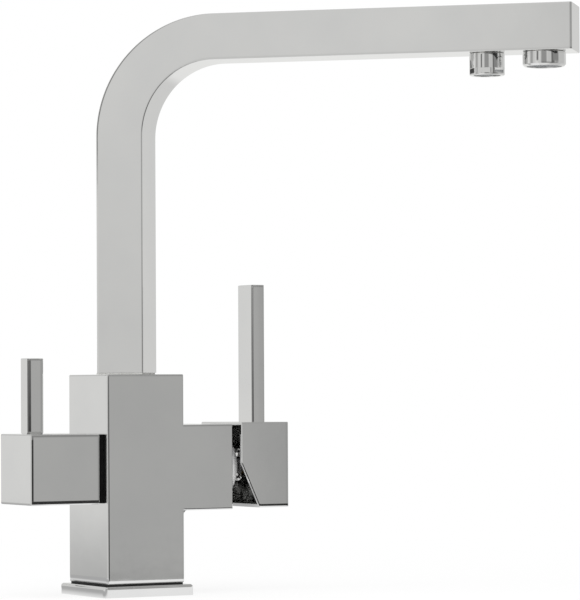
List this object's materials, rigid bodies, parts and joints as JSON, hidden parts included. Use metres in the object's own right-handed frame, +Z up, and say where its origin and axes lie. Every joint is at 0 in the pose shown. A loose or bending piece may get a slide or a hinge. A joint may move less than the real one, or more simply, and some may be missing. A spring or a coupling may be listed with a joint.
{
  "type": "three way filtered water tap",
  "caption": "Square chrome kitchen tap: swivel spout with mains and filtered outlets, lever mixer on the right, small lever valve for filtered water on the left.",
  "frame": {"origin": "centre of the square column on the worktop plane", "axes": "+Z up, +X towards the mixer arm and its lever, -Y the front"},
  "size_m": [0.244, 0.2008, 0.3016],
  "materials": {
    "chrome": "bright chrome plate, polished",
    "brass": "machined",
    "rubber": "matte",
    "black_plastic": "fine satin",
    "white_plastic": "moulded, satin",
    "grey_plastic": "moulded, satin",
    "tube_plastic": "smooth extruded",
    "ceramic": "lapped ceramic",
    "steel": "machined stainless steel"
  },
  "bodies": {
    "body": {"base_plinth": "chrome", "base_gasket": "rubber", "plinth_seal": "rubber", "body_shell": "chrome", "inlet_block": "brass", "inlet_block_screws": "steel", "inlet_seals": "rubber", "spout_retaining_screw": "steel", "cartridge_base": "grey_plastic", "cartridge_seals": "rubber", "cartridge_housing": "white_plastic", "cartridge_fixed_disc": "ceramic", "cartridge_nut": "brass", "cartridge_dome": "chrome", "filter_collar": "black_plastic", "filter_valve_body": "brass", "filter_valve_seal": "rubber", "filter_fixed_disc": "ceramic"},
    "spout": {"swivel_glide_ring": "white_plastic", "spout_tailpiece": "brass", "spout_o_rings": "rubber", "spout_tube": "chrome", "spout_end_cap": "chrome", "filter_water_tube": "tube_plastic", "aerator_boss": "brass", "aerator_seal": "rubber", "aerator_insert": "grey_plastic", "aerator_housing": "chrome", "filter_outlet_boss": "brass", "filter_outlet_seal": "rubber", "filter_outlet_insert": "grey_plastic", "filter_outlet_housing": "chrome"},
    "mixer_turn": {"mixer_carrier": "white_plastic", "mixer_pivot_pin": "steel"},
    "mixer_disc": {"cartridge_slider": "grey_plastic", "cartridge_moving_disc": "ceramic"},
    "mixer_handle": {"mixer_stem": "steel", "mixer_handle_shell": "chrome", "mixer_lever": "chrome", "mixer_grub_screw": "steel", "mixer_screw_plug": "grey_plastic"},
    "filter_handle": {"filter_moving_disc": "ceramic", "filter_spindle": "brass", "filter_handle_block": "chrome", "filter_lever": "chrome", "filter_grub_screw": "steel"}
  },
  "joints": [
    {"name": "spout_swivel", "type": "hinge", "parent": "body", "child": "spout", "pos_m": [0, 0, 0.2], "axis": [0, 0, 1], "range_deg": [-166, 74]},
    {"name": "mixer_temperature", "type": "hinge", "parent": "body", "child": "mixer_turn", "pos_m": [0.041, 0, 0.066], "axis": [1, 0, 0], "range_deg": [-50, 50]},
    {"name": "mixer_lift", "type": "hinge", "parent": "mixer_turn", "child": "mixer_handle", "pos_m": [0.041, 0, 0.066], "axis": [0, 1, 0], "range_deg": [0, 25]},
    {"name": "mixer_disc_slide", "type": "slide", "parent": "mixer_turn", "child": "mixer_disc", "axis": [0, 0, 1], "range_m": [0, 0.0041]},
    {"name": "filter_valve", "type": "hinge", "parent": "body", "child": "filter_handle", "pos_m": [-0.0544, 0, 0.066], "axis": [1, 0, 0], "range_deg": [0, 90]}
  ],
  "couplings": [
    {"joint": "mixer_disc_slide", "follows": "mixer_lift", "m_per_rad": 0.009395}
  ]
}
